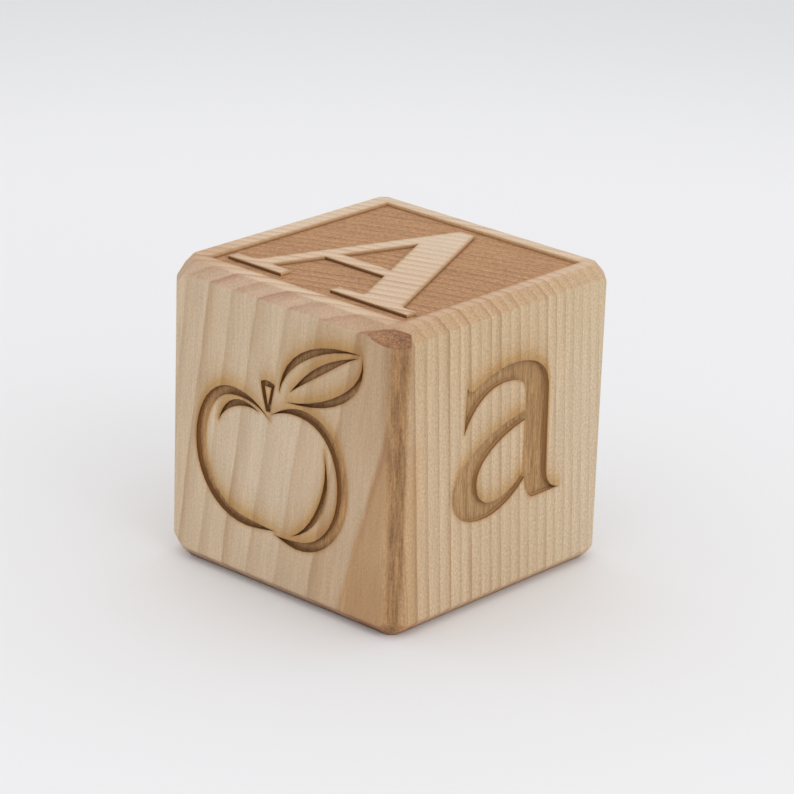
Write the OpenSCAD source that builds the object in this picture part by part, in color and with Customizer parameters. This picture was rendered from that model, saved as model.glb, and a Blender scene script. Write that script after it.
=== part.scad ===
// Wooden alphabet block: one chamfered cube of solid wood with every face engraved.
// Opposite faces carry the same motif: a capital letter left standing in a sunk panel,
// a small letter, and an apple drawn in tapered strokes. The browned layer that the
// engraving leaves on each sunk floor is a node of its own.

/* [Block] */
// Edge length of the cube
block_size = 50; // [40:1:60]
// Leg of the flat chamfer along the four upright edges
edge_chamfer = 2.5; // [1:0.1:4]
// Leg of the flat chamfer round the top and the base
end_chamfer = 2; // [1:0.1:4]
// Distance from the top or the base to the far end of a corner facet
corner_drop = 2.5; // [2:0.1:5]

/* [Engraving] */
// Depth of the small letter and the apple below their faces
engraving_depth = 0.8; // [0.4:0.1:1.5]
// Depth of the capital letter's panel below its face
panel_depth = 0.5; // [0.3:0.1:1.5]
// Thickness of the wood browned by heat under each sunk floor
scorch_thickness = 0.2; // [0.1:0.05:0.5]

/* [Capital letter] */
// Flat border between the chamfer and the sunk panel
panel_border = 2.5; // [1:0.1:4]
// Sideways shift of the panel from the middle of its face
panel_shift = 0.6; // [-0.8:0.1:0.8]
// Gap from the letter to the panel's rim, above and below
capital_end_gap = 2.5; // [1:0.1:4]
// Gap from the letter's feet to the panel's rim, on both sides
capital_side_gap = 1.7; // [0.5:0.1:3]
// Width of the flat top of the letter
apex_width = 2.8; // [1:0.1:5]
// Distance from the middle of the letter to its top, to the left
apex_shift = 0.8; // [0:0.1:2]
// Width of the thin left stroke, measured level
thin_stroke = 3.1; // [2:0.1:5]
// Width of the thick right stroke, measured level
thick_stroke = 7.6; // [5:0.1:9]
// Thickness of the bar
bar_thickness = 2.7; // [1.5:0.1:4]
// Height of the bar's underside above the foot of the letter
bar_rise = 10.9; // [8:0.1:13]
// Height of the slab feet
foot_height = 2.1; // [1:0.1:4]
// Length of the foot of the thin stroke
thin_foot_length = 11.4; // [9:0.1:14]
// Overhang of that foot past the outside of its stroke
thin_foot_overhang = 4.1; // [2:0.1:5]
// Length of the foot of the thick stroke
thick_foot_length = 15.8; // [13:0.1:18]
// Overhang of that foot past the outside of its stroke
thick_foot_overhang = 3; // [1.5:0.1:4.5]
// Leg of the small curved brackets between strokes and feet
bracket_leg = 1; // [0.4:0.1:1.4]

/* [Small letter] */
// Gap from the letter to the chamfer on its left
small_left_gap = 10.1; // [6:0.1:13]
// Gap from the letter to the chamfer on its right
small_right_gap = 9.5; // [6:0.1:13]
// Gap from the top of the letter to the chamfer above it
small_top_gap = 8.8; // [4:0.1:11]
// Gap from the foot of the letter to the chamfer below it
small_foot_gap = 13; // [8:0.1:15]

/* [Apple] */
// Gap from the picture to the chamfers at its sides
apple_side_gap = 4.9; // [3:0.1:9]
// Gap from the leaf's tip to the chamfer above it
apple_top_gap = 3.2; // [1.5:0.1:6]
// Gap from the apple to the chamfer below it
apple_foot_gap = 7.3; // [3:0.1:10]
// Greatest width of the two strokes round the apple
outline_width = 2; // [1:0.1:2.6]
// Greatest width of the two shading strokes inside the apple
shading_width = 1.1; // [0.6:0.1:1.6]
// Greatest width of the strokes of the leaf
leaf_width = 1.3; // [0.6:0.1:1.8]

/* [Hidden] */

// Colours of the bare wood and of the browned floors
wood_colour = [0.83, 0.72, 0.57];
panel_colour = [0.66, 0.49, 0.36];
stroke_colour = [0.27, 0.17, 0.1];
letter_colour = [0.5, 0.38, 0.26];

// How far a cutting shape reaches out of the face that it opens
overrun = 0.5;
// Straight pieces that one curve of an outline is drawn with
curve_steps = 10;
// Above 1, a stroke is slimmer towards its ends
swell_power = 1.25;

half_size = block_size / 2;
// Flat part of the top and of the base, and of a side face, inside the chamfers
end_face = block_size - 2 * end_chamfer;
side_face = [block_size - 2 * edge_chamfer, end_face];

// The corner facets stand square to the block's space diagonals
corner_tilt = atan(sqrt(2));
corner_reach = (3 * half_size - edge_chamfer - corner_drop) / sqrt(3);
corner_cut_size = 2 * (edge_chamfer + corner_drop);

// Turns that bring a flat motif, drawn facing up, to each face
top_face = [0, 0, 0];
base_face = [180, 0, 0];
front_face = [90, 0, 0];
right_face = [90, 0, 90];
rear_face = [90, 0, 180];
left_face = [90, 0, 270];

panel_size = end_face - 2 * panel_border;
capital_size = [panel_size - 2 * capital_side_gap, panel_size - 2 * capital_end_gap];
small_size = [side_face[0] - small_left_gap - small_right_gap,
              side_face[1] - small_top_gap - small_foot_gap];
apple_size = [side_face[0] - 2 * apple_side_gap, side_face[1] - apple_top_gap - apple_foot_gap];

// Outlines and strokes below are shares of their motif's width and height, from its lower left corner.
// A step holds the point that a straight side ends at, or two guide points and the end of a curve.
small_start_share = [1, 0.02];
small_outline_shares = [
    [[0.93, 0.03], [0.88, 0.08], [0.87, 0.17]],
    [[0.86, 0.74]],
    [[0.86, 0.92], [0.72, 1], [0.5, 1]],
    [[0.37, 1], [0.24, 0.94], [0.155, 0.905]],
    [[0.13, 0.9], [0.11, 0.91], [0.1, 0.935]],
    [[0.085, 0.63]],
    [[0.15, 0.78], [0.28, 0.89], [0.43, 0.89]],
    [[0.57, 0.89], [0.65, 0.86], [0.65, 0.74]],
    [[0.65, 0.645]],
    [[0.47, 0.62], [0.27, 0.555], [0.135, 0.445]],
    [[0.05, 0.38], [0, 0.31], [0, 0.22]],
    [[0, 0.08], [0.12, 0], [0.285, 0]],
    [[0.44, 0], [0.575, 0.085], [0.665, 0.18]],
    [[0.67, 0.11], [0.7, 0.04], [0.74, 0.02]],
];
small_counter_start_share = [0.65, 0.58];
small_counter_shares = [
    [[0.51, 0.555], [0.36, 0.49], [0.27, 0.395]],
    [[0.235, 0.355], [0.215, 0.31], [0.215, 0.26]],
    [[0.215, 0.16], [0.28, 0.095], [0.37, 0.095]],
    [[0.47, 0.095], [0.58, 0.15], [0.65, 0.225]],
];

// Two strokes go round the apple, from the hollow at its stem to its foot
left_outline_start_share = [0.45, 0.55];
left_outline_shares = [
    [[0.38, 0.61], [0.31, 0.63], [0.23, 0.63]],
    [[0.1, 0.63], [0.025, 0.5], [0.025, 0.36]],
    [[0.025, 0.18], [0.15, 0.045], [0.32, 0.04]],
    [[0.39, 0.038], [0.45, 0.042], [0.495, 0.046]],
];
right_outline_start_share = [0.455, 0.58];
right_outline_shares = [
    [[0.51, 0.615], [0.57, 0.635], [0.635, 0.635]],
    [[0.79, 0.635], [0.89, 0.5], [0.89, 0.335]],
    [[0.89, 0.15], [0.77, 0.02], [0.62, 0.018]],
    [[0.57, 0.017], [0.53, 0.022], [0.49, 0.03]],
];
// One shading stroke lies inside each of them
left_shading_start_share = [0.135, 0.47];
left_shading_shares = [[[0.175, 0.575], [0.275, 0.615], [0.385, 0.572]]];
right_shading_start_share = [0.78, 0.48];
right_shading_shares = [[[0.825, 0.3], [0.74, 0.12], [0.595, 0.053]]];
// The leaf has its two edges and a rib
leaf_upper_start_share = [0.5, 0.695];
leaf_upper_shares = [[[0.52, 0.85], [0.69, 0.98], [0.98, 0.993]]];
leaf_rib_start_share = [0.565, 0.715];
leaf_rib_shares = [[[0.66, 0.81], [0.8, 0.915], [0.96, 0.975]]];
leaf_lower_start_share = [0.545, 0.665];
leaf_lower_shares = [[[0.8, 0.685], [1.015, 0.815], [0.985, 0.975]]];
// The stem is a tapered outline round a narrow island of bare wood
stem_start_share = [0.39, 0.72];
stem_shares = [
    [[0.4, 0.66], [0.415, 0.62], [0.425, 0.59]],
    [[0.45, 0.59]],
    [[0.455, 0.63], [0.465, 0.68], [0.475, 0.72]],
    [[0.455, 0.737], [0.41, 0.737], [0.39, 0.72]],
];
stem_island_shares = [[0.415, 0.705], [0.436, 0.62], [0.455, 0.705]];

// Point at part t of the way along a curve from one point to another with two guides
function curve_point(from, guide, second_guide, to, t) =
    pow(1 - t, 3) * from
    + 3 * t * pow(1 - t, 2) * guide
    + 3 * pow(t, 2) * (1 - t) * second_guide
    + pow(t, 3) * to;

// Points of one step of an outline, without its start
function step_points(from, step) =
    len(step) == 1
    ? step
    : [for (k = [1 : curve_steps]) curve_point(from, step[0], step[1], step[2], k / curve_steps)];

function step_end(step) = step[len(step) - 1];

// Points of an outline or path, in shares
function run_points(start, steps) = [
    start,
    for (k = [0 : len(steps) - 1])
        each step_points(k == 0 ? start : step_end(steps[k - 1]), steps[k])
];

// Shares as lengths in a motif of the given size
function in_motif(points, size) = [for (p = points) [p[0] * size[0], p[1] * size[1]]];

// Direction to the left of a path at one of its points
function left_of(path, k) =
    let (ahead = path[min(k + 1, len(path) - 1)] - path[max(k - 1, 0)])
    [-ahead[1], ahead[0]] / norm(ahead);

// Half the width of a stroke of the given greatest width, part t of the way along it
function half_width(width, t) = width / 2 * pow(sin(180 * t), swell_power);

// Outline of a stroke that is widest half way and runs out to a point at both ends
function stroke_outline(path, width) =
    let (last = len(path) - 1)
    concat(
        [for (k = [0 : last]) path[k] + left_of(path, k) * half_width(width, k / last)],
        [for (k = [last - 1 : -1 : 1]) path[k] - left_of(path, k) * half_width(width, k / last)]
    );

// Place of a slanted edge, level with height y, between its ends at the top and at the foot
function edge_at(top, foot, y) = top[0] + (foot[0] - top[0]) * (top[1] - y) / (top[1] - foot[1]);

// Curved bracket from one point to another, drawn in towards the corner between them
function bracket(from, corner, to) = [
    for (k = [0 : curve_steps])
        let (t = k / curve_steps)
            pow(1 - t, 2) * from + 2 * t * (1 - t) * corner + pow(t, 2) * to
];

// The capital letter, centred on its panel
module capital_letter() {
    side = capital_size[0] / 2;
    top = capital_size[1] / 2;
    slab = foot_height - top;
    bend = slab + bracket_leg;
    bar_low = bar_rise - top;
    bar_high = bar_low + bar_thickness;

    thin_top = [-apex_shift - apex_width / 2, top];
    thin_foot = [thin_foot_overhang - side, slab];
    thick_top = [apex_width / 2 - apex_shift, top];
    thick_foot = [side - thick_foot_overhang, slab];
    thin_inner = thin_foot_length - side;
    thick_inner = side - thick_foot_length;
    inset = [[thin_stroke, 0], [-thick_stroke, 0]];

    function thin_out(y) = [edge_at(thin_top, thin_foot, y), y];
    function thick_out(y) = [edge_at(thick_top, thick_foot, y), y];
    function thin_in(y) = thin_out(y) + inset[0];
    function thick_in(y) = thick_out(y) + inset[1];

    // Level at which the inner sides of the two strokes meet
    spread = (thick_in(slab)[0] - thin_in(slab)[0]) - (thick_in(top)[0] - thin_in(top)[0]);
    counter_top = top - (thin_in(top)[0] - thick_in(top)[0]) * (top - slab) / spread;

    difference() {
        polygon(concat(
            [[-side, -top], [thin_inner, -top], [thin_inner, slab]],
            bracket(thin_in(slab) + [bracket_leg, 0], thin_in(slab), thin_in(bend)),
            [thin_in(bar_low), thick_in(bar_low)],
            bracket(thick_in(bend), thick_in(slab), thick_in(slab) - [bracket_leg, 0]),
            [[thick_inner, slab], [thick_inner, -top], [side, -top], [side, slab]],
            bracket(thick_foot + [bracket_leg, 0], thick_foot, thick_out(bend)),
            [thick_top, thin_top],
            bracket(thin_out(bend), thin_foot, thin_foot - [bracket_leg, 0]),
            [[-side, slab]]
        ));
        polygon([thin_in(bar_high), thick_in(bar_high), thin_in(counter_top)]);
    }
}

// The sunk floor round the capital letter
module capital_floor() {
    translate([panel_shift, 0])
        difference() {
            square(panel_size, center = true);
            capital_letter();
        }
}

// The small letter, drawn from the lower left corner of its face
module small_letter() {
    translate([small_left_gap, small_foot_gap] - side_face / 2)
        difference() {
            polygon(in_motif(run_points(small_start_share, small_outline_shares), small_size));
            polygon(in_motif(run_points(small_counter_start_share, small_counter_shares), small_size));
        }
}

// One tapered stroke of the apple
module apple_stroke(start, steps, width) {
    polygon(stroke_outline(in_motif(run_points(start, steps), apple_size), width));
}

// The apple with its stem and leaf, drawn from the lower left corner of its face
module apple_strokes() {
    translate([apple_side_gap, apple_foot_gap] - side_face / 2) {
        apple_stroke(left_outline_start_share, left_outline_shares, outline_width);
        apple_stroke(right_outline_start_share, right_outline_shares, outline_width);
        apple_stroke(left_shading_start_share, left_shading_shares, shading_width);
        apple_stroke(right_shading_start_share, right_shading_shares, shading_width);
        apple_stroke(leaf_upper_start_share, leaf_upper_shares, leaf_width);
        apple_stroke(leaf_rib_start_share, leaf_rib_shares, leaf_width);
        apple_stroke(leaf_lower_start_share, leaf_lower_shares, leaf_width);
        difference() {
            polygon(in_motif(run_points(stem_start_share, stem_shares), apple_size));
            polygon(in_motif(stem_island_shares, apple_size));
        }
    }
}

// Places a motif, drawn facing up about the origin, on a face of the block
module on_face(turn) {
    translate([0, 0, half_size])
        rotate(turn)
            translate([0, 0, half_size])
                children();
}

// Space that is cut out of the wood under a motif, browned layer included
module sunk(turn, depth) {
    on_face(turn)
        translate([0, 0, -depth - scorch_thickness])
            linear_extrude(depth + scorch_thickness + overrun)
                children();
}

// Browned layer on the floor of a motif
module scorch(turn, depth) {
    on_face(turn)
        translate([0, 0, -depth - scorch_thickness])
            linear_extrude(scorch_thickness)
                children();
}

// Square bar along one axis of the block, its edges chamfered with the given leg
module chamfered_bar(turn, leg) {
    flat = half_size - leg;
    rotate(turn)
        linear_extrude(block_size, center = true)
            polygon([
                [flat, half_size], [-flat, half_size],
                [-half_size, flat], [-half_size, -flat],
                [-flat, -half_size], [flat, -half_size],
                [half_size, -flat], [half_size, flat]
            ]);
}

// The four corner facets at the upper end of the block
module upper_corner_cuts() {
    for (turn = [45 : 90 : 315])
        rotate([0, corner_tilt, turn])
            translate([0, 0, corner_reach])
                linear_extrude(corner_cut_size)
                    square(corner_cut_size, center = true);
}

// The cube with its chamfers and corner facets, standing on the origin
module chamfered_cube() {
    translate([0, 0, half_size])
        difference() {
            intersection() {
                chamfered_bar(top_face, edge_chamfer);
                chamfered_bar(front_face, end_chamfer);
                chamfered_bar([0, 90, 0], end_chamfer);
            }
            upper_corner_cuts();
            mirror([0, 0, 1])
                upper_corner_cuts();
        }
}

module wood_block() {
    color(wood_colour)
        difference() {
            chamfered_cube();
            for (turn = [top_face, base_face])
                sunk(turn, panel_depth) capital_floor();
            for (turn = [front_face, rear_face])
                sunk(turn, engraving_depth) apple_strokes();
            for (turn = [right_face, left_face])
                sunk(turn, engraving_depth) small_letter();
        }
}

module capital_scorch_top() {
    color(panel_colour)
        scorch(top_face, panel_depth) capital_floor();
}

module capital_scorch_base() {
    color(panel_colour)
        scorch(base_face, panel_depth) capital_floor();
}

module apple_scorch_front() {
    color(stroke_colour)
        scorch(front_face, engraving_depth) apple_strokes();
}

module apple_scorch_rear() {
    color(stroke_colour)
        scorch(rear_face, engraving_depth) apple_strokes();
}

module small_letter_scorch_right() {
    color(letter_colour)
        scorch(right_face, engraving_depth) small_letter();
}

module small_letter_scorch_left() {
    color(letter_colour)
        scorch(left_face, engraving_depth) small_letter();
}

wood_block();
capital_scorch_top();
capital_scorch_base();
apple_scorch_front();
apple_scorch_rear();
small_letter_scorch_right();
small_letter_scorch_left();
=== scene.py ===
import math

import bpy
from mathutils import Matrix, Vector
from mathutils.kdtree import KDTree


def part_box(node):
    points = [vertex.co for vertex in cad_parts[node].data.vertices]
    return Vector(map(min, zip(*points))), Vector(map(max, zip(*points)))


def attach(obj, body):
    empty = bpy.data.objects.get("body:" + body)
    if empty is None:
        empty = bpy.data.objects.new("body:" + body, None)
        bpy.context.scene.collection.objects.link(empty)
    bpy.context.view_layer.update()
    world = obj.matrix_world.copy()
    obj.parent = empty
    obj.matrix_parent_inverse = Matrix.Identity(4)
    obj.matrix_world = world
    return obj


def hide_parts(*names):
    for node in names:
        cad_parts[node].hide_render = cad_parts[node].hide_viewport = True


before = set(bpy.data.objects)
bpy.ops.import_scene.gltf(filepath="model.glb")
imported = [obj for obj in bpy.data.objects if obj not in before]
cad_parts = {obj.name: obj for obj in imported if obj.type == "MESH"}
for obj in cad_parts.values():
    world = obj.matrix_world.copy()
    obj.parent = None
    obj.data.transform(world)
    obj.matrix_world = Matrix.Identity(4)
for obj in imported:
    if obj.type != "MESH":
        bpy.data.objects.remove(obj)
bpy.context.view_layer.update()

# Sizes, in metres unless a comment says otherwise
MM = 0.001
hair = 0.01 * MM
merge_distance = 0.001 * MM
block_low, block_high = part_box("wood_block")
block_size = block_high.x - block_low.x
block_middle = (block_low + block_high) / 2
half_block = block_size / 2

# The chamfers, read off the CAD block's top and right face
block_points = [vertex.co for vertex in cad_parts["wood_block"].data.vertices]
top_points = [point for point in block_points if point.z > block_high.z - hair]
right_points = [point for point in block_points if point.x > block_high.x - hair]
right_flat = max(point.y for point in right_points)
end_chamfer = block_high.x - max(point.x for point in top_points)
edge_chamfer = block_high.y - right_flat
corner_drop = block_high.z - max(point.z for point in right_points if point.y > right_flat - hair)

# How deep the engravings are, read off the CAD floors
panel_depth = block_high.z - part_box("capital_scorch_top")[1].z
apple_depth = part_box("apple_scorch_front")[0].y - block_low.y
letter_depth = block_high.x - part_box("small_letter_scorch_right")[1].x

# The two corners at the left of the photograph were sanded further down, and every edge was eased by hand
sanded_drop = 3.8 * MM
eased_edge = 0.3 * MM
eased_steps = 3

# How finely the block is meshed: cuts across each face, and more of them in a band along every engraving
face_cuts = 69
fine_band = 0.9 * MM
fine_cuts = 2

# Bends up to these angles are shaded smooth, and a face whose normal has this share of a direction faces it
block_smooth_angle = math.radians(7)
floor_smooth_angle = math.radians(25)
facing_share = 0.99

# How each burnt floor's node faces
ENGRAVINGS = {
    "capital_scorch_top": Vector((0, 0, 1)),
    "capital_scorch_base": Vector((0, 0, -1)),
    "apple_scorch_front": Vector((0, -1, 0)),
    "apple_scorch_rear": Vector((0, 1, 0)),
    "small_letter_scorch_right": Vector((1, 0, 0)),
    "small_letter_scorch_left": Vector((-1, 0, 0)),
}

# The engravings: the spacing of points along an outline and of the mesh on a floor, how far a cutter
# stands out of the face, how far a floor lies under the CAD node's, how far its sheet is oversize before it
# is cut, and the height of its ridges
outline_step = 0.1 * MM
panel_mesh_step = 0.40 * MM
stroke_mesh_step = 0.14 * MM
cutter_reach = 2 * MM
floor_skim = 0.015 * MM
floor_margin = 1 * MM
panel_ridge = 0.07 * MM
stroke_ridge = 0.05 * MM

# How far the burning toasted a rim, and how its smoke coloured the wood: its spread beside and above a rim,
# and its strength at each height above one, in millimetres
toast_reach = 0.16 * MM
smoke_aside = 0.45 * MM
smoke_above = 0.5 * MM
smoke_range = 6 * MM
SMOKE_BY_HEIGHT = {
    0: 0.4,
    0.4: 0.88,
    0.8: 0.85,
    1.2: 0.68,
    1.6: 0.52,
    2: 0.4,
    2.5: 0.3,
    3: 0.24,
    4: 0.15,
    5: 0.09,
}
panel_smoke = 0.3

# How charred each floor is, with painted shade in the recess along with the char, and how far, in
# millimetres:
# beside a side wall, under an upper rim and above a lower rim
CHARS_AND_SHADES = {
    "panel_scorch": ((0.55, 0.2), (0.55, 0.2), (0.55, 0.2)),
    "apple_scorch": ((0.47, 0.65), (1.0, 1.3), (1.0, 1.5)),
    "small_letter_scorch": ((0.15, 0.25), (0.95, 0.7), (0.0, 0.5)),
}

# From here on, places in the wood are in millimetres from the block's middle. A fade is given by where it
# starts and where it is full.

# The growth rings curve round a leaning pith well outside the block. They lie nearly 3 mm apart at the heart
# and about 2 mm apart towards the bark, where their late wood fades. They wander, and their edges are ragged
# by a share of a ring.
pith = Vector((59.3, -162.2, 0.0))
pith_lean = Vector((0.045, -0.0535, 0.0))
ring_middle = 189.65
ring_pace = 0.491
ring_slowing = 0.0000191
ring_wander = 0.4
ring_raggedness = 0.16
late_sharpness = 2.4
late_end = 0.93
late_fade = (155.0, 185.0)
late_fade_share = 0.6

# The heartwood ends in the front corner, so far from the pith. The wood is darker beside it, paler towards
# the bark, and palest in the middle of the front face.
heart_edge = 142.69
heart_lean = 0.0205
heart_raggedness = 0.35
heart_blur = 0.12
heart_line_width = 0.3
near_heart_fade = (heart_edge + 8.0, heart_edge)
near_bark_fade = (heart_edge + 24.0, heart_edge + 44.0)
pale_spot = Vector((0.0, -25.0, -1.0))
pale_fade = (20.0, 6.0)

# Fine lines along the growth layers: how many in a millimetre outwards, sideways and upwards
LINES_PER_MM = (2.6, 0.10, 0.06)

# The front upright edge has directions of its own: aside across the edge's slope, out from the block's
# middle, and up over the corner facet
corner_aside = Vector((1, 1, 0)).normalized()
corner_out = Vector((1, -1, 0)).normalized()
corner_up = Vector((-0.251, 0.251, 0.935))
corner_middle = Vector((23.33, -23.33, 23.33))
corner_fade = (28.0, 29.0)

# The dark streak down that edge: the height and the place aside of each side's two ends, and how the streak
# fades. The heartwood stops at its right side.
STREAK_LEFT = ((-2.0, -1.8), (12.0, -3.4))
STREAK_RIGHT = ((-22.0, 0.8), (-6.0, 1.2))
streak_raggedness = 0.9
streak_left_full = -0.5
streak_right_fade = (0.45, -0.3)
streak_top_fade = (23.2, 22.2)
inside_fade = (0.5, -0.2)

# The shaded wood to the left of the streak, at the top and the foot, and the golden wood low to its right
shade_left_fade = (-8.0, -4.0)
shade_right_fade = (0.5, -0.5)
shade_upper_fade = (-3.0, 8.0)
shade_lower_fade = (-10.0, -19.0)
shade_out_fade = (24.0, 28.0)
golden_left_fade = (0.6, 1.4)
golden_right_fade = (4.4, 2.6)
golden_top_fade = (10.0, 4.0)

# The brown eye on the corner above the streak, inside a straight right end and two arcs. An arc is the place
# of its centre, aside and up, and its radius.
EYE_ARCS = ((-2.0, -6.6, 8.19), (-0.34, 4.87, 6.21))
eye_right = 1.45
eye_raggedness = 0.5
eye_fade = (0.1, -0.1)
eye_rim_fade = (-0.4, -0.05)
eye_rim_share = 0.6
eye_depth_fade = (-5.0, 1.0)

# What handling and age left: a stain on the end grain's border, all along the right but less at the back,
# and round the front left corner; and yellowed wood high on the right and left faces. The slopes round the
# base have painted contact shade, darkest at their foot
stain_right_fade = (20.0, 20.8)
stain_back_fade = (-22.0, 22.0)
stain_back_share = 0.6
stain_corner = Vector((-22.5, -21.5, 0.0))
stain_corner_fade = (13.0, 3.0)
yellow_fade = (6.0, 22.0)
# How high up the base slopes the painted contact shade eases off
base_shade_fade = (-24.8, -23.4)

# What each mark does to the wood's colour: factors for red, green and blue. The painted contact shade on the
# base slopes has a pair, for the foot of a slope and for the rest of it.
stain_tint = (0.88, 0.78, 0.70)
yellow_tint = (0.98, 0.965, 0.91)
# Painted contact shade: a pair for slopes facing front or back, and one for those facing right or left
FRONT_BASE_SHADE_TINTS = ((0.40, 0.34, 0.29), (0.90, 0.86, 0.82))
SIDE_BASE_SHADE_TINTS = ((0.62, 0.55, 0.48), (1.15, 1.10, 1.02))
near_heart_tint = (0.91, 0.85, 0.79)
near_bark_tint = (1.02, 1.07, 1.13)
heartwood_tint = (0.93, 0.81, 0.65)
heart_line_tint = (0.89, 0.80, 0.71)
pale_tint = (1.05, 1.08, 1.13)
shade_tint = (0.92, 0.87, 0.82)
golden_tint = (0.98, 0.90, 0.79)
smoke_tint = (0.78, 0.58, 0.26)
toast_tint = (0.78, 0.64, 0.46)

# Ash on the front half of a burnt floor
ash_fade = (4.0, -1.0)
ash_tint = (1.08, 1.16, 1.31)

# The walls of the engravings: the depth of the rim that keeps its first colour, the same where a wall faces
# its given way, the share of the depth at which that wall has its second colour, and how gradually it ends
# towards the back. The last place is behind every wall.
wall_rim = 0.1
facing_rim = 0.05
facing_depth_share = 0.6
facing_back_blur = 1.0
behind_walls = 100.0

# How deep the bumps of each finish are, in metres again
wood_bump = 0.02 * MM
floor_bump = 0.06 * MM
wall_bump = 0.05 * MM


def only(piece):
    """Leaves this piece alone selected and active."""
    bpy.ops.object.select_all(action="DESELECT")
    piece.select_set(True)
    bpy.context.view_layer.objects.active = piece


def pick_faces(piece, wanted):
    """Selects the faces that wanted says, and goes to edit mode with them."""
    only(piece)
    bpy.ops.object.mode_set(mode="EDIT")
    bpy.ops.mesh.select_mode(type="FACE")
    bpy.ops.mesh.select_all(action="DESELECT")
    bpy.ops.object.mode_set(mode="OBJECT")
    for face in piece.data.polygons:
        face.select = wanted(face)
    bpy.ops.object.mode_set(mode="EDIT")


def plain_cube(name, size):
    """A cube about the block's middle, its place in the mesh."""
    bpy.ops.object.select_all(action="DESELECT")
    bpy.ops.mesh.primitive_cube_add(size=size, location=block_middle)
    cube = bpy.context.object
    cube.name = name
    bpy.ops.object.transform_apply(location=True, rotation=True, scale=True)
    return cube


def slice_off(piece, point, outward):
    """Cuts away what lies beyond a plane and closes the cut."""
    only(piece)
    bpy.ops.object.mode_set(mode="EDIT")
    bpy.ops.mesh.select_all(action="SELECT")
    bpy.ops.mesh.bisect(plane_co=point, plane_no=outward, use_fill=True, clear_outer=True)
    bpy.ops.object.mode_set(mode="OBJECT")


def node_copy(name, node_name):
    """A merged copy of a CAD node's mesh, to cut with."""
    piece = bpy.data.objects.new(name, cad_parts[node_name].data.copy())
    bpy.context.scene.collection.objects.link(piece)
    only(piece)
    bpy.ops.object.mode_set(mode="EDIT")
    bpy.ops.mesh.select_all(action="SELECT")
    bpy.ops.mesh.remove_doubles(threshold=merge_distance)
    bpy.ops.object.mode_set(mode="OBJECT")
    piece.data.materials.clear()
    return piece


def cut_with(piece, cutter, operation):
    """Cuts a piece with another, which is used up."""
    only(piece)
    cut = piece.modifiers.new("cut", "BOOLEAN")
    cut.object = cutter
    cut.operation = operation
    cut.solver = "MANIFOLD"
    bpy.ops.object.modifier_apply(modifier=cut.name)
    bpy.data.objects.remove(cutter)


def ring_share(place):
    """How far through its growth ring a point lies: 0 at the pale early wood, 1 at the dark late wood."""
    spot = (place - block_middle) / MM
    past = (spot - pith - pith_lean * spot.z).xy.length - ring_middle
    return (ring_pace * past - ring_slowing * past**3) % 1


def nearest_of(points):
    """Gives the way from a place to the nearest of these points."""
    tree = KDTree(len(points))
    for number, point in enumerate(points):
        tree.insert(point, number)
    tree.balance()
    return lambda place: tree.find(place)[0] - place


# The block


def chamfered_shape():
    """A cube a hair over size, cut to the block's chamfers and corner facets, with every edge eased."""
    shape = plain_cube("chamfered_shape", block_size + 2 * hair)
    for x_way in (-1, 1):
        for y_way in (-1, 1):
            corner = Vector((x_way * half_block, y_way * (half_block - edge_chamfer), 0))
            slice_off(shape, block_middle + corner, Vector((x_way, y_way, 0)))
    for z_way in (-1, 1):
        up = Vector((0, 0, z_way))
        for side in (Vector((1, 0, 0)), Vector((-1, 0, 0)), Vector((0, 1, 0)), Vector((0, -1, 0))):
            edge = side * half_block + up * (half_block - end_chamfer)
            slice_off(shape, block_middle + edge, side + up)
        for x_way in (-1, 1):
            for y_way in (-1, 1):
                drop = sanded_drop if x_way + y_way == -2 else corner_drop
                tip = Vector((x_way * half_block, y_way * (half_block - edge_chamfer), 0))
                tip += up * (half_block - drop)
                outward = Vector((x_way / edge_chamfer, y_way / edge_chamfer, z_way / drop))
                slice_off(shape, block_middle + tip, outward)
    only(shape)
    bpy.ops.object.mode_set(mode="EDIT")
    bpy.ops.mesh.select_all(action="SELECT")
    bpy.ops.mesh.bevel(offset=eased_edge, segments=eased_steps, affect="EDGES")
    bpy.ops.mesh.select_all(action="SELECT")
    bpy.ops.mesh.normals_make_consistent(inside=False)
    bpy.ops.object.mode_set(mode="OBJECT")
    return shape


def outline_points(node_name, outward):
    """Points along an engraving's outline, on the face that it is cut into."""
    floor = node_copy("outline", node_name)
    mesh = floor.data
    uses = {}
    for face in mesh.polygons:
        if face.normal.dot(outward) > facing_share:
            for key in face.edge_keys:
                uses[key] = uses.get(key, 0) + 1
    points = []
    for (first, last), count in uses.items():
        if count == 1:
            start = mesh.vertices[first].co.copy()
            along = mesh.vertices[last].co - start
            steps = math.ceil(along.length / outline_step)
            for step in range(steps):
                point = start + along * (step / steps)
                depth = half_block - (point - block_middle).dot(outward)
                points.append(point + outward * depth)
    bpy.data.objects.remove(floor)
    return points


def pocket_cutter(node_name, outward):
    """A burnt floor's solid, carried out past the face it is sunk in, with its walls' material number."""
    cutter = node_copy("pocket_cutter", node_name)
    panel_number, apple_number, letter_number = 1, 2, 3
    wall_number = panel_number if outward.z else apple_number if outward.y else letter_number
    for face in cutter.data.polygons:
        face.material_index = wall_number
    pick_faces(cutter, lambda face: face.normal.dot(outward) > facing_share)
    bpy.ops.mesh.extrude_region_move(TRANSFORM_OT_translate={"value": outward * cutter_reach})
    bpy.ops.object.mode_set(mode="OBJECT")
    return cutter


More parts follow.
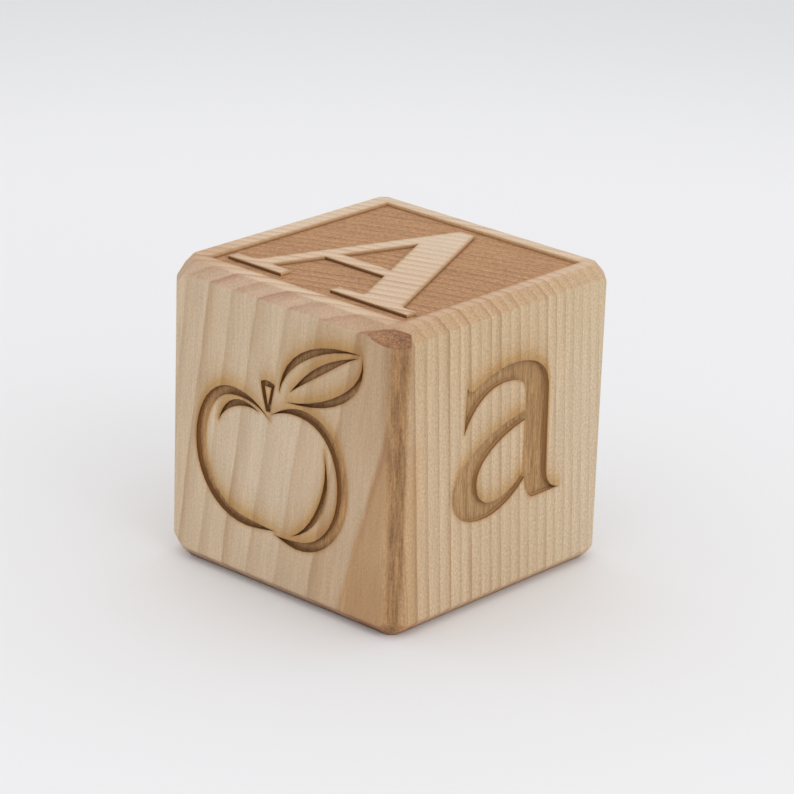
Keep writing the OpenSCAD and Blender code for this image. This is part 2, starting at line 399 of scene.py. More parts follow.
def toy_block(wood, panel_wall, apple_wall, letter_wall):
    """The block: finely meshed faces, chamfered and eased edges, and the engravings cut out of it."""
    block = plain_cube("toy_block", block_size)
    for finish in (wood, panel_wall, apple_wall, letter_wall):
        block.data.materials.append(finish)
    bpy.ops.object.mode_set(mode="EDIT")
    bpy.ops.mesh.select_all(action="SELECT")
    bpy.ops.mesh.subdivide(number_cuts=face_cuts)
    bpy.ops.object.mode_set(mode="OBJECT")
    rims = []
    for node_name, outward in ENGRAVINGS.items():
        rims += outline_points(node_name, outward)
    to_rim = nearest_of(rims)
    pick_faces(block, lambda face: to_rim(face.center).length < fine_band)
    bpy.ops.mesh.subdivide(number_cuts=fine_cuts)
    bpy.ops.object.mode_set(mode="OBJECT")
    cut_with(block, chamfered_shape(), "INTERSECT")
    for node_name, outward in ENGRAVINGS.items():
        cut_with(block, pocket_cutter(node_name, outward), "DIFFERENCE")
    only(block)
    bpy.ops.object.shade_smooth_by_angle(angle=block_smooth_angle)
    brown_rims(block, to_rim)
    return block


def brown_rims(block, to_rim):
    """Writes how far the burning toasted each point of the wood, and how far its smoke coloured it."""
    toasted = block.data.attributes.new("toasted", "FLOAT", "POINT")
    smoked = block.data.attributes.new("smoked", "FLOAT", "POINT")
    side_height = half_block - end_chamfer
    for vertex in block.data.vertices:
        place = vertex.co
        distance = to_rim(place).length
        toasted.data[vertex.index].value = math.exp(-distance / toast_reach)
        if distance < smoke_range:
            on_side = abs(place.z - block_middle.z) < side_height
            heights = SMOKE_BY_HEIGHT if on_side else {0: panel_smoke}
            smoked.data[vertex.index].value = max(smoke_at(place, to_rim, h, heights[h]) for h in heights)


def smoke_at(place, to_rim, height, strength):
    """The smoke at a place from the rim at this height, in millimetres, below it."""
    way = to_rim(place - Vector((0, 0, height * MM)))
    return strength * math.exp(-((way.xy.length / smoke_aside) ** 2) - (way.z / smoke_above) ** 2)


# The burnt floors


def burnt_floor(name, node_name, finish, mesh_step, ridge, chars_and_shades):
    """A thin browned layer on an engraving's floor, meshed finely enough for the ridges of the late wood."""
    outward = ENGRAVINGS[node_name]
    low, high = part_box(node_name)
    middle = (low + high) / 2
    half = (high - low) / 2
    thickness = 2 * abs(half.dot(outward))
    width = 2 * max(half) + floor_margin
    cuts = math.ceil(width / mesh_step)
    surface = middle + outward * (thickness / 2 - floor_skim)
    inward = -outward * (thickness + floor_margin)
    bpy.ops.object.select_all(action="DESELECT")
    bpy.ops.mesh.primitive_grid_add(
        x_subdivisions=cuts,
        y_subdivisions=cuts,
        size=width,
        location=surface,
        rotation=outward.to_track_quat("Z", "Y").to_euler(),
    )
    floor = bpy.context.object
    floor.name = name
    bpy.ops.object.transform_apply(location=True, rotation=True, scale=True)
    bpy.ops.object.mode_set(mode="EDIT")
    bpy.ops.mesh.select_all(action="SELECT")
    bpy.ops.mesh.extrude_region_move(TRANSFORM_OT_translate={"value": inward})
    bpy.ops.mesh.select_all(action="SELECT")
    bpy.ops.mesh.normals_make_consistent(inside=False)
    bpy.ops.object.mode_set(mode="OBJECT")
    cut_with(floor, node_copy("outline", node_name), "INTERSECT")
    floor.data.materials.clear()
    floor.data.materials.append(finish)
    char_and_shade_floor(floor, node_name, outward, surface, ridge, chars_and_shades)
    only(floor)
    bpy.ops.object.shade_smooth_by_angle(angle=floor_smooth_angle)
    return floor


def char_and_shade_floor(floor, node_name, outward, surface, ridge, chars_and_shades):
    """Sinks the early wood between the ridges, and writes the char and painted shade on the floor beside its
    walls.
    """
    mesh = floor.data
    level = surface.dot(outward)
    top = [v for v in mesh.vertices if abs(v.co.dot(outward) - level) < floor_skim / 2]
    rim = outline_points(node_name, outward)
    to_rim = nearest_of([point + (surface - point).project(outward) for point in rim])
    # Char on the floor beside the walls, with painted shade in the recess, strongest under an upper rim
    charred_and_shaded = mesh.attributes.new("charred_and_shaded", "FLOAT", "POINT")
    beside, under, above = (Vector(char_and_shade) for char_and_shade in chars_and_shades)
    for vertex in mesh.vertices:
        way = to_rim(vertex.co)
        rise = 0 if outward.z else way.normalized().z
        share, reach = beside.lerp(under if rise > 0 else above, rise**2)
        charred_and_shaded.data[vertex.index].value = share * math.exp(-way.length / (reach * MM))
    for vertex in top:
        vertex.co -= outward * ridge * (1 - ring_share(vertex.co) ** 2)


# Shader helpers

# A mix node's sockets for colours, by number because their labels repeat
mix_share, mix_first, mix_second, mix_result = 0, 6, 7, 2


def srgb(red, green, blue):
    """A colour as a paint chart gives it, 0 to 255, as the shader's linear values."""
    shares = [value / 255 for value in (red, green, blue)]
    linear = [s / 12.92 if s <= 0.04045 else ((s + 0.055) / 1.055) ** 2.4 for s in shares]
    return (*linear, 1.0)


def opaque(tint):
    """A tint as a socket's colour."""
    return (*tint, 1.0)


def feed(tree, socket, value):
    """Links a socket's source, or sets its plain value."""
    if isinstance(value, bpy.types.NodeSocket):
        tree.links.new(value, socket)
    else:
        socket.default_value = value


def maths(tree, operation, *values, clamp=False):
    """A sum on plain values."""
    node = tree.nodes.new("ShaderNodeMath")
    node.operation = operation
    node.use_clamp = clamp
    for socket, value in zip(node.inputs, values):
        feed(tree, socket, value)
    return node.outputs[0]


def product(tree, first, *others):
    """Values or masks multiplied together."""
    for other in others:
        first = maths(tree, "MULTIPLY", first, other)
    return first


def vector_maths(tree, operation, *values):
    """A vector sum. Lengths and dot products come out as a value."""
    node = tree.nodes.new("ShaderNodeVectorMath")
    node.operation = operation
    for socket, value in zip(node.inputs, values):
        feed(tree, socket, value)
    return node.outputs["Value" if operation in ("LENGTH", "DOT_PRODUCT") else "Vector"]


def flat_length(tree, x, y):
    """The length of a way with these two parts."""
    node = tree.nodes.new("ShaderNodeCombineXYZ")
    feed(tree, node.inputs["X"], x)
    feed(tree, node.inputs["Y"], y)
    return vector_maths(tree, "LENGTH", node.outputs[0])


def ramp(tree, value, start, end, low=0.0, high=1.0, smooth=True):
    """The value's way from start to end, as low to high, held at both ends."""
    node = tree.nodes.new("ShaderNodeMapRange")
    node.interpolation_type = "SMOOTHSTEP" if smooth else "LINEAR"
    for socket, term in zip(node.inputs, (value, start, end, low, high)):
        feed(tree, socket, term)
    return node.outputs[0]


def varied(tree, value, low, high):
    """A noise's usual swing, as a factor from low to high."""
    return ramp(tree, value, 0.25, 0.75, low, high, smooth=False)


def mixed(tree, share, first, second, mode="MIX"):
    """Two colours mixed by a share."""
    node = tree.nodes.new("ShaderNodeMix")
    node.data_type = "RGBA"
    node.blend_type = mode
    feed(tree, node.inputs[mix_share], share)
    feed(tree, node.inputs[mix_first], first)
    feed(tree, node.inputs[mix_second], second)
    return node.outputs[mix_result]


def tinted(tree, share, colour, tint):
    """The colour times a tint, as far as the share says."""
    return mixed(tree, share, colour, opaque(tint), "MULTIPLY")


def toned(tree, colour, factor):
    """The colour times a value that changes over the surface."""
    return mixed(tree, 1.0, colour, factor, "MULTIPLY")


def parts_of(tree, vector):
    """A vector's three parts."""
    node = tree.nodes.new("ShaderNodeSeparateXYZ")
    feed(tree, node.inputs[0], vector)
    return node.outputs


def stretched(tree, place, per_mm, start=Vector()):
    """The way from a starting point in millimetres, times a number for each direction."""
    scale = Vector(per_mm) / MM
    node = tree.nodes.new("ShaderNodeMapping")
    node.inputs["Scale"].default_value = scale
    node.inputs["Location"].default_value = -start * scale
    feed(tree, node.inputs["Vector"], place)
    return node.outputs[0]


def from_middle(tree, place):
    """A place in millimetres from the block's middle."""
    return stretched(tree, place, (1, 1, 1), block_middle)


def noise_at(tree, spot, detail=2.0, roughness=0.5):
    """Noise at a spot, with features about 1 wide."""
    node = tree.nodes.new("ShaderNodeTexNoise")
    node.inputs["Scale"].default_value = 1.0
    node.inputs["Detail"].default_value = detail
    node.inputs["Roughness"].default_value = roughness
    feed(tree, node.inputs["Vector"], spot)
    return node.outputs[0]


def noise(tree, place, per_mm, detail=2.0, roughness=0.5):
    """Noise with so many features in a millimetre of each direction."""
    return noise_at(tree, stretched(tree, place, per_mm), detail, roughness)


def about_zero(tree, value):
    """A noise's value, moved to swing about zero."""
    return maths(tree, "SUBTRACT", value, 0.5)


def attribute(tree, name):
    """A value that is written on the mesh."""
    node = tree.nodes.new("ShaderNodeAttribute")
    node.attribute_name = name
    return node.outputs["Fac"]


def new_group(name, inputs, outputs):
    """An empty node group with named sockets. Returns it with its input and output sockets."""
    group = bpy.data.node_groups.new(name, "ShaderNodeTree")
    for label, kind in inputs.items():
        group.interface.new_socket(label, in_out="INPUT", socket_type=kind)
    for label, kind in outputs.items():
        group.interface.new_socket(label, in_out="OUTPUT", socket_type=kind)
    source = group.nodes.new("NodeGroupInput")
    target = group.nodes.new("NodeGroupOutput")
    return group, source.outputs, target.inputs


def place_group(tree, group, place):
    """A group in a material, fed with the place. Returns its outputs."""
    node = tree.nodes.new("ShaderNodeGroup")
    node.node_tree = group
    feed(tree, node.inputs["Place"], place)
    return node.outputs


def new_finish(name):
    """A material with its shader, and the place and normal that its patterns read."""
    finish = bpy.data.materials.new(name)
    finish.use_nodes = True
    tree = finish.node_tree
    shader = tree.nodes["Principled BSDF"]
    coordinates = tree.nodes.new("ShaderNodeTexCoord")
    return finish, tree, shader, coordinates.outputs["Object"], coordinates.outputs["Normal"]


def set_bump(tree, shader, height, strength, distance):
    """Bumps on a shader, from a height that changes over the surface."""
    node = tree.nodes.new("ShaderNodeBump")
    node.inputs["Strength"].default_value = strength
    node.inputs["Distance"].default_value = distance
    feed(tree, node.inputs["Height"], height)
    tree.links.new(node.outputs[0], shader.inputs["Normal"])


# The figure of the wood, which all finishes of the block share


def pith_distance(group, spot):
    """How far a spot lies from the leaning pith."""
    parts = []
    for way in ("X", "Y"):
        lean = getattr(pith_lean, way.lower())
        start = getattr(pith, way.lower())
        level = maths(group, "MULTIPLY_ADD", spot["Z"], -lean, spot[way])
        parts.append(maths(group, "SUBTRACT", level, start))
    return flat_length(group, *parts)


def late_wood(group, place, reach, ragged, cloud):
    """How much dark late wood there is: most at the end of a ring, and more in some rings than in others."""
    wander = about_zero(group, noise(group, place, per_mm=(0.05, 0.05, 0.02), detail=1.0))
    past = maths(group, "SUBTRACT", reach, ring_middle)
    past = maths(group, "MULTIPLY_ADD", wander, ring_wander, past)
    cubed = maths(group, "POWER", maths(group, "ABSOLUTE", past), 3.0)
    slowing = product(group, cubed, ring_slowing, maths(group, "SIGN", past))
    rings = maths(group, "SUBTRACT", maths(group, "MULTIPLY", past, ring_pace), slowing)
    rings = maths(group, "MULTIPLY_ADD", ragged, ring_raggedness, rings)
    share = maths(group, "FRACT", rings)
    ring_kind = group.nodes.new("ShaderNodeTexWhiteNoise")
    ring_kind.noise_dimensions = "1D"
    feed(group, ring_kind.inputs["W"], maths(group, "FLOOR", rings))
    return product(
        group,
        maths(group, "POWER", share, late_sharpness),
        ramp(group, share, late_end, 1.0, low=1.0, high=0.0),
        ramp(group, ring_kind.outputs["Value"], 0, 1, low=0.65, high=1.15),
        ramp(group, cloud, 0.3, 0.7, low=0.7, high=1.15),
        ramp(group, reach, *late_fade, low=1.0, high=late_fade_share),
    )


def growth_lines(group, spot, reach):
    """Fine lines that follow the growth layers."""
    layers = group.nodes.new("ShaderNodeCombineXYZ")
    for way, length, per_mm in zip("XYZ", (reach, spot["X"], spot["Z"]), LINES_PER_MM):
        feed(group, layers.inputs[way], maths(group, "MULTIPLY", length, per_mm))
    return noise_at(group, layers.outputs[0])


def wood_figure_group():
    """The figure of the wood through the whole block: growth rings, heartwood, fibres and flecks."""
    value = "NodeSocketFloat"
    group, source, target = new_group(
        "Wood figure",
        {"Place": "NodeSocketVector"},
        {
            "Late wood": value,
            "Heartwood": value,
            "Heart line": value,
            "Near heart": value,
            "Near bark": value,
            "Lines": value,
            "Fibre": value,
            "Fleck": value,
            "Cloud": value,
        },
    )
    place = source["Place"]
    spot = parts_of(group, from_middle(group, place))
    reach = pith_distance(group, spot)
    ragged = about_zero(group, noise(group, place, per_mm=(1.3, 1.3, 0.07)))
    cloud = noise(group, place, per_mm=(0.22, 0.22, 0.07))
    fibre = noise(group, place, per_mm=(2.4, 2.4, 0.10), detail=4.0, roughness=0.65)
    fleck = noise(group, place, per_mm=(3.4, 3.4, 2.1), roughness=0.65)
    heart_at = maths(group, "MULTIPLY_ADD", spot["Z"], heart_lean, reach)
    heart_at = maths(group, "MULTIPLY_ADD", ragged, heart_raggedness, heart_at)
    past_heart = maths(group, "ABSOLUTE", maths(group, "SUBTRACT", heart_at, heart_edge))
    feed(group, target["Late wood"], late_wood(group, place, reach, ragged, cloud))
    feed(group, target["Heartwood"], ramp(group, heart_at, heart_edge + heart_blur, heart_edge - heart_blur))
    feed(group, target["Heart line"], ramp(group, past_heart, heart_line_width, 0.0))
    feed(group, target["Near heart"], ramp(group, heart_at, *near_heart_fade))
    feed(group, target["Near bark"], ramp(group, heart_at, *near_bark_fade))
    feed(group, target["Lines"], growth_lines(group, spot, reach))
    feed(group, target["Fibre"], fibre)
    feed(group, target["Fleck"], fleck)
    feed(group, target["Cloud"], cloud)
    return group


# The block's finish


def surface_slopes(tree, normal):
    """Masks of end grain, the slopes beside it, those round the base, and what faces right and left."""
    parts = parts_of(tree, normal)
    upright = maths(tree, "ABSOLUTE", parts["Z"])
    sloping = product(tree, ramp(tree, upright, 0.3, 0.5), ramp(tree, upright, 0.95, 0.8))
    return {
        "end grain": ramp(tree, upright, 0.75, 0.95),
        "end slope": sloping,
        "under": product(tree, sloping, ramp(tree, parts["Z"], -0.3, -0.5)),
        "across": ramp(tree, maths(tree, "ABSOLUTE", parts["X"]), 0.4, 0.7),
    }


def streak_side(tree, height, ends):
    """How far aside one side of the streak lies at a height."""
    (low_height, low_aside), (high_height, high_aside) = ends
    return ramp(tree, height, low_height, high_height, low_aside, high_aside)


def past_eye_rim(tree, eye_at, above):
    """How far outside the brown eye's rim a spot lies."""
    past_rim = maths(tree, "SUBTRACT", eye_at, eye_right)
    for arc_aside, arc_above, radius in EYE_ARCS:
        across = maths(tree, "SUBTRACT", eye_at, arc_aside)
        upwards = maths(tree, "SUBTRACT", above, arc_above)
        beyond = maths(tree, "SUBTRACT", flat_length(tree, across, upwards), radius)
        past_rim = maths(tree, "MAXIMUM", past_rim, beyond)
    return past_rim


def corner_marks(tree, place):
    """Masks of the front edge: the inner wood, its dark streak, the wood on each side of it, and the eye."""
    spot = from_middle(tree, place)
    height = parts_of(tree, spot)["Z"]
    aside = vector_maths(tree, "DOT_PRODUCT", spot, corner_aside)
    outward = vector_maths(tree, "DOT_PRODUCT", spot, corner_out)
    up = vector_maths(tree, "DOT_PRODUCT", spot, corner_up)
    above = maths(tree, "SUBTRACT", up, corner_middle @ corner_up)
    ragged = about_zero(tree, noise(tree, place, per_mm=(0.9, 0.9, 0.12)))
    at_corner = ramp(tree, outward, *corner_fade)
    streak_at = maths(tree, "MULTIPLY_ADD", ragged, streak_raggedness, aside)
    past_right = maths(tree, "SUBTRACT", streak_at, streak_side(tree, height, STREAK_RIGHT))
    streak = product(
        tree,
        at_corner,
        ramp(tree, past_right, *streak_right_fade),
        ramp(tree, streak_at, streak_side(tree, height, STREAK_LEFT), streak_left_full),
        ramp(tree, height, *streak_top_fade),
    )
    shade = product(
        tree,
        ramp(tree, aside, *shade_left_fade),
        ramp(tree, aside, *shade_right_fade),
        maths(tree, "ADD", ramp(tree, height, *shade_upper_fade), ramp(tree, height, *shade_lower_fade)),
        ramp(tree, outward, *shade_out_fade),
    )
    golden = product(
        tree,
        ramp(tree, aside, *golden_left_fade),
        ramp(tree, streak_at, *golden_right_fade),
        ramp(tree, height, *golden_top_fade),
        at_corner,
    )
    eye_at = maths(tree, "MULTIPLY_ADD", ragged, eye_raggedness, aside)
    past_rim = past_eye_rim(tree, eye_at, above)
    eye = product(tree, at_corner, ramp(tree, past_rim, *eye_fade))
    return {
        "inside": ramp(tree, past_right, *inside_fade),
        "streak": streak,
        "shade": shade,
        "golden": golden,
        "eye": eye,
        "eye rim": product(tree, eye, ramp(tree, past_rim, *eye_rim_fade), eye_rim_share),
        "eye depth": ramp(tree, aside, *eye_depth_fade),
    }


def border_stain(tree, spot, end_grain):
    """Mask of the stained parts of the end grain's border."""
    right = ramp(tree, spot["X"], *stain_right_fade)
    right = product(tree, right, ramp(tree, spot["Y"], *stain_back_fade, low=1.0, high=stain_back_share))
    from_corner_x = maths(tree, "SUBTRACT", spot["X"], stain_corner.x)
    from_corner_y = maths(tree, "SUBTRACT", spot["Y"], stain_corner.y)
    corner = ramp(tree, flat_length(tree, from_corner_x, from_corner_y), *stain_corner_fade)
    return product(tree, end_grain, maths(tree, "MAXIMUM", right, corner))


def wood_by_cut(tree, late, slopes):
    """The wood's colour on faces along and across the rings, on end grain and on the slopes beside it."""
    across = slopes["across"]
    along_rings = mixed(tree, late, srgb(199, 176, 147), srgb(177, 147, 113))
    across_rings = mixed(tree, late, srgb(198, 173, 141), srgb(162, 129, 90))
    side = mixed(tree, across, along_rings, across_rings)
    end = mixed(tree, late, srgb(210, 182, 152), srgb(166, 127, 93))
    front_slope = mixed(tree, late, srgb(192, 162, 135), srgb(164, 118, 87))
    side_slope = mixed(tree, late, srgb(191, 159, 125), srgb(162, 123, 88))
    colour = mixed(tree, slopes["end grain"], side, end)
    return mixed(tree, slopes["end slope"], colour, mixed(tree, across, front_slope, side_slope))


def handled_and_base_shaded_wood(tree, colour, spot, slopes):
    """The wood with its stained border, yellowed sides, and painted contact shade on its lower slopes."""
    colour = tinted(tree, border_stain(tree, spot, slopes["end grain"]), colour, stain_tint)
    yellowed = product(tree, slopes["across"], ramp(tree, spot["Z"], *yellow_fade))
    colour = tinted(tree, yellowed, colour, yellow_tint)
    # Painted contact shade on the slopes round the base, darkest at their foot
    above_base = ramp(tree, spot["Z"], *base_shade_fade)
    front_base_shade = mixed(tree, above_base, *map(opaque, FRONT_BASE_SHADE_TINTS))
    side_base_shade = mixed(tree, above_base, *map(opaque, SIDE_BASE_SHADE_TINTS))
    base_shade = mixed(tree, slopes["across"], front_base_shade, side_base_shade)
    return mixed(tree, slopes["under"], colour, base_shade, "MULTIPLY")


def heart_to_bark(tree, colour, place, figure, inside):
    """The wood with its heartwood, darker beside it, paler towards the bark and on the front face."""
    colour = tinted(tree, figure["Near heart"], colour, near_heart_tint)
    colour = tinted(tree, figure["Near bark"], colour, near_bark_tint)
    colour = tinted(tree, product(tree, figure["Heartwood"], inside), colour, heartwood_tint)
    colour = tinted(tree, figure["Heart line"], colour, heart_line_tint)
    from_pale = vector_maths(tree, "SUBTRACT", from_middle(tree, place), pale_spot)
    pale = ramp(tree, vector_maths(tree, "LENGTH", from_pale), *pale_fade)
    return tinted(tree, pale, colour, pale_tint)


def front_edge(tree, colour, place, marks):
    """The wood with the front edge's shaded and golden wood, its dark streak and its brown eye."""
    colour = tinted(tree, marks["shade"], colour, shade_tint)
    colour = tinted(tree, marks["golden"], colour, golden_tint)
    strands = noise(tree, place, per_mm=(1.5, 1.5, 0.13), detail=4.0, roughness=0.75)
    streak = mixed(tree, ramp(tree, strands, 0.3, 0.7), srgb(122, 84, 46), srgb(174, 133, 87))
    colour = mixed(tree, marks["streak"], colour, streak)
    specks = noise(tree, place, per_mm=(2.2, 2.2, 4.5), roughness=0.6)
    eye_pale = mixed(tree, marks["eye depth"], srgb(180, 134, 94), srgb(158, 112, 74))
    eye_dark = mixed(tree, marks["eye depth"], srgb(152, 106, 70), srgb(112, 72, 42))
    eye = mixed(tree, ramp(tree, specks, 0.35, 0.65), eye_pale, eye_dark)
    eye = mixed(tree, marks["eye rim"], eye, srgb(132, 86, 50))
    return mixed(tree, marks["eye"], colour, eye)


def fine_grain(tree, figure, across):
    """The fine light and dark of the wood. Its flecks are stronger on the right and left faces."""
    fleck_depth = ramp(tree, across, 0.0, 1.0, low=0.6, high=1.0)
    return product(
        tree,
        varied(tree, figure["Fibre"], 0.90, 1.09),
        maths(tree, "MULTIPLY_ADD", about_zero(tree, figure["Fleck"]), fleck_depth, 1.0),
        varied(tree, figure["Lines"], 0.94, 1.055),
        varied(tree, figure["Cloud"], 0.96, 1.03),
    )


def smoked_wood(tree, colour, figure):
    """The wood with the smoke above the burnt strokes, in drifts, and the toasted rims."""
    drifts = ramp(tree, figure["Cloud"], 0.3, 0.6, low=0.85, high=1.1)
    colour = tinted(tree, product(tree, attribute(tree, "smoked"), drifts), colour, smoke_tint)
    return tinted(tree, attribute(tree, "toasted"), colour, toast_tint)


def block_wood(figure_group):
    """Bare sanded softwood with the marks of its growth, of handling and of the burning."""
    finish, tree, shader, place, normal = new_finish("block_wood")
    figure = place_group(tree, figure_group, place)
    slopes = surface_slopes(tree, normal)
    marks = corner_marks(tree, place)
    spot = parts_of(tree, from_middle(tree, place))
    colour = wood_by_cut(tree, figure["Late wood"], slopes)
    colour = handled_and_base_shaded_wood(tree, colour, spot, slopes)
    colour = heart_to_bark(tree, colour, place, figure, marks["inside"])
    colour = front_edge(tree, colour, place, marks)
    colour = toned(tree, colour, fine_grain(tree, figure, slopes["across"]))
    colour = smoked_wood(tree, colour, figure)
    feed(tree, shader.inputs["Base Color"], colour)
    feed(tree, shader.inputs["Roughness"], ramp(tree, figure["Late wood"], 0, 1, low=0.62, high=0.52))
    set_bump(tree, shader, figure["Fibre"], 0.25, wood_bump)
    return finish


# The finishes of the engravings


def burnt_finish(name, figure_group, pale, deep, char_and_shade, streak, ring_depth, ridge_strength, ash=0.0):
    """A floor browned by the burning: streaks along the fibres, darker late wood, char and painted shade
    beside the walls.

    The front half of a floor can be paler and greyer with ash.
    """
    finish, tree, shader, place, _ = new_finish(name)
    figure = place_group(tree, figure_group, place)
    strands = noise(tree, place, per_mm=streak, detail=3.0, roughness=0.7)
    depth = maths(tree, "MULTIPLY_ADD", figure["Late wood"], ring_depth, ramp(tree, strands, 0.28, 0.72))
    colour = mixed(tree, maths(tree, "MULTIPLY", depth, 0.75, clamp=True), pale, deep)
    ashen = ramp(tree, parts_of(tree, from_middle(tree, place))["Y"], *ash_fade, high=ash)
    colour = tinted(tree, ashen, colour, ash_tint)
    # Char and painted shade beside the walls
    colour = mixed(tree, attribute(tree, "charred_and_shaded"), colour, char_and_shade)
    specks = noise(tree, place, per_mm=(5.0, 5.0, 1.2), roughness=0.65)
    flecks = varied(tree, specks, 0.74, 1.26)
    lines = varied(tree, figure["Lines"], 0.86, 1.12)
    colour = toned(tree, colour, product(tree, flecks, lines))
    feed(tree, shader.inputs["Base Color"], colour)
    feed(tree, shader.inputs["Roughness"], ramp(tree, strands, 0, 1, low=0.72, high=0.9))
    set_bump(tree, shader, strands, ridge_strength, floor_bump)
    return finish


def burnt_wall(name, figure_group, axis, depth, colours, facing, facing_colours, facing_back=behind_walls):
    """A wall of an engraving, from its rim to the browned floor, with other colours where it faces one way.

    Walls further back than facing_back, in millimetres from the middle, keep the first colours.
    """
    finish, tree, shader, place, normal = new_finish(name)
    figure = place_group(tree, figure_group, place)
    spot = parts_of(tree, from_middle(tree, place))
    sunk = maths(tree, "SUBTRACT", half_block / MM, maths(tree, "ABSOLUTE", spot[axis]))
    down = ramp(tree, sunk, wall_rim, depth / MM)
    facing_down = ramp(tree, sunk, facing_rim, facing_depth_share * depth / MM)
    turned = ramp(tree, vector_maths(tree, "DOT_PRODUCT", normal, facing), 0.1, 0.9)
    in_front = ramp(tree, spot["Y"], facing_back + facing_back_blur, facing_back - facing_back_blur)
    plain_wall = mixed(tree, down, *colours)
    facing_wall = mixed(tree, facing_down, *facing_colours)
    colour = mixed(tree, product(tree, turned, in_front), plain_wall, facing_wall)
    colour = toned(tree, colour, varied(tree, figure["Fibre"], 0.82, 1.12))
    feed(tree, shader.inputs["Base Color"], colour)
    feed(tree, shader.inputs["Roughness"], ramp(tree, figure["Fleck"], 0, 1, low=0.75, high=0.9))
    set_bump(tree, shader, figure["Fleck"], 0.4, wall_bump)
    return finish


# The pieces

figure_group = wood_figure_group()
panel_scorch = burnt_finish(
    "panel_scorch",
    figure_group,
    pale=srgb(188, 143, 101),
    deep=srgb(153, 109, 72),
    char_and_shade=srgb(146, 101, 64),
    streak=(1.6, 1.6, 1.6),
    ring_depth=1.3,
    ridge_strength=0.2,
)
apple_scorch = burnt_finish(
    "apple_scorch",
    figure_group,
    pale=srgb(212, 166, 113),
    deep=srgb(168, 126, 82),
    char_and_shade=srgb(109, 71, 33),
    streak=(3.0, 3.0, 0.25),
    ring_depth=0.3,
    ridge_strength=0.6,
)
letter_scorch = burnt_finish(
    "small_letter_scorch",
    figure_group,
    pale=srgb(180, 141, 95),
    deep=srgb(132, 97, 57),
    char_and_shade=srgb(128, 93, 54),
    streak=(3.0, 3.0, 0.2),
    ring_depth=0.45,
    ridge_strength=0.6,
    ash=0.6,
)
panel_wall = burnt_wall(
    "panel_wall",
    figure_group,
    axis="Z",
    depth=panel_depth,
    colours=(srgb(206, 170, 128), srgb(168, 126, 88)),
    facing=Vector((0, -1, 0)),
    facing_colours=(srgb(164, 120, 76), srgb(98, 64, 36)),
    facing_back=18.0,
)
apple_wall = burnt_wall(
    "apple_wall",
    figure_group,
    axis="Y",
    depth=apple_depth,
    colours=(srgb(110, 67, 25), srgb(160, 115, 62)),
    # Walls that face up get colours of their own: painted light from above, and less smoke there
    facing=Vector((0, 0, 1)),
    facing_colours=(srgb(112, 74, 38), srgb(132, 94, 54)),
)
letter_wall = burnt_wall(
    "letter_wall",
    figure_group,
    axis="X",
    depth=letter_depth,
    colours=(srgb(144, 106, 63), srgb(170, 132, 88)),
    # Walls that face up get colours of their own: painted light from above, and less smoke there
    facing=Vector((0, 0, 1)),
    facing_colours=(srgb(138, 96, 56), srgb(186, 146, 102)),
)

block = toy_block(block_wood(figure_group), panel_wall, apple_wall, letter_wall)
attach(block, "root")
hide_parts("wood_block")

FLOORS = {
    "panel_floor_top": ("capital_scorch_top", "panel_scorch"),
    "panel_floor_base": ("capital_scorch_base", "panel_scorch"),
    "apple_floor_front": ("apple_scorch_front", "apple_scorch"),
    "apple_floor_rear": ("apple_scorch_rear", "apple_scorch"),
    "letter_floor_right": ("small_letter_scorch_right", "small_letter_scorch"),
    "letter_floor_left": ("small_letter_scorch_left", "small_letter_scorch"),
}
SCORCHES = {
    "panel_scorch": (panel_scorch, panel_mesh_step, panel_ridge),
    "apple_scorch": (apple_scorch, stroke_mesh_step, stroke_ridge),
    "small_letter_scorch": (letter_scorch, stroke_mesh_step, stroke_ridge),
}
for name, (node_name, slot) in FLOORS.items():
    floor = burnt_floor(name, node_name, *SCORCHES[slot], CHARS_AND_SHADES[slot])
    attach(floor, "root")
    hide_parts(node_name)


# The stage: a pale floor, soft light all round, and the camera where the photograph was taken from

floor_width = 5.0
# Painted light falloff on the paper: lighter near the block, darker further off, in metres
paper_light_falloff = (0.20, 0.40)
sky_strength = 1.02
lamp_place = Vector((0.85, -0.15, 0.38))
lamp_width = 1.0
lamp_power = 1.7
sensor_width = 36.0
farthest_view = 20.0


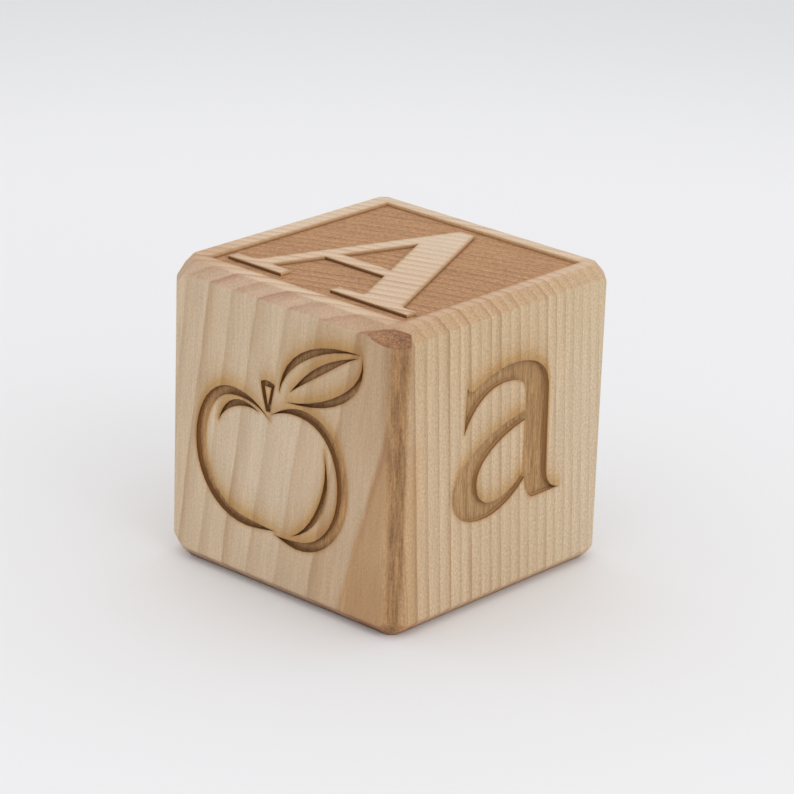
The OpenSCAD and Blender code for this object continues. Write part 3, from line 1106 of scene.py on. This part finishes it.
def pale_floor():
    """A wide sheet of pale paper, with painted light falloff: a little darker away from the block."""
    bpy.ops.object.select_all(action="DESELECT")
    bpy.ops.mesh.primitive_plane_add(size=floor_width, location=(0, 0, block_low.z))
    floor = bpy.context.object
    floor.name = "pale_floor"
    bpy.ops.object.transform_apply(location=True, rotation=True, scale=True)
    finish, tree, shader, place, _ = new_finish("pale_paper")
    distance = vector_maths(tree, "LENGTH", place)
    # Painted light falloff: the paper darkens away from the block
    paper = mixed(tree, ramp(tree, distance, *paper_light_falloff), srgb(232, 232, 234), srgb(216, 217, 219))
    feed(tree, shader.inputs["Base Color"], paper)
    shader.inputs["Roughness"].default_value = 0.9
    shader.inputs["Specular IOR Level"].default_value = 0.1
    floor.data.materials.append(finish)


def studio_light():
    """An evenly white room, with one broad lamp at the right."""
    scene = bpy.context.scene
    scene.view_settings.view_transform = "Standard"
    scene.world = bpy.data.worlds.new("soft_white_room")
    scene.world.use_nodes = True
    sky = scene.world.node_tree.nodes["Background"]
    sky.inputs["Color"].default_value = (1.0, 1.0, 1.0, 1.0)
    sky.inputs["Strength"].default_value = sky_strength
    lamp = bpy.data.lights.new("window_lamp", "AREA")
    lamp.shape = "DISK"
    lamp.size = lamp_width
    lamp.energy = lamp_power
    holder = bpy.data.objects.new("window_lamp", lamp)
    scene.collection.objects.link(holder)
    holder.location = lamp_place
    holder.rotation_euler = (lamp_place - block_middle).to_track_quat("Z", "Y").to_euler()


def photo_camera():
    """A camera at the photograph's own place, turned and rolled as it was."""
    turn = math.radians(41.70)
    lift = math.radians(20.80)
    roll = math.radians(1.93)
    distance = 11.307 * block_size
    aside = 0.030 * block_size
    above = 0.034 * block_size
    image_width = 794
    focal_pixels = 3564.3
    back = Vector((math.sin(turn) * math.cos(lift), -math.cos(turn) * math.cos(lift), math.sin(lift)))
    level_right = Vector((math.cos(turn), math.sin(turn), 0))
    level_up = back.cross(level_right)
    right = level_right * math.cos(roll) + level_up * math.sin(roll)
    up = level_up * math.cos(roll) - level_right * math.sin(roll)
    lens = bpy.data.cameras.new("photo_camera")
    lens.sensor_width = sensor_width
    lens.lens = focal_pixels / image_width * sensor_width
    lens.clip_end = farthest_view
    camera = bpy.data.objects.new("photo_camera", lens)
    bpy.context.scene.collection.objects.link(camera)
    turned = Matrix((right, up, back)).transposed().to_4x4()
    place = block_middle + back * distance + right * aside + up * above
    camera.matrix_world = Matrix.Translation(place) @ turned
    bpy.context.scene.camera = camera


pale_floor()
studio_light()
photo_camera()
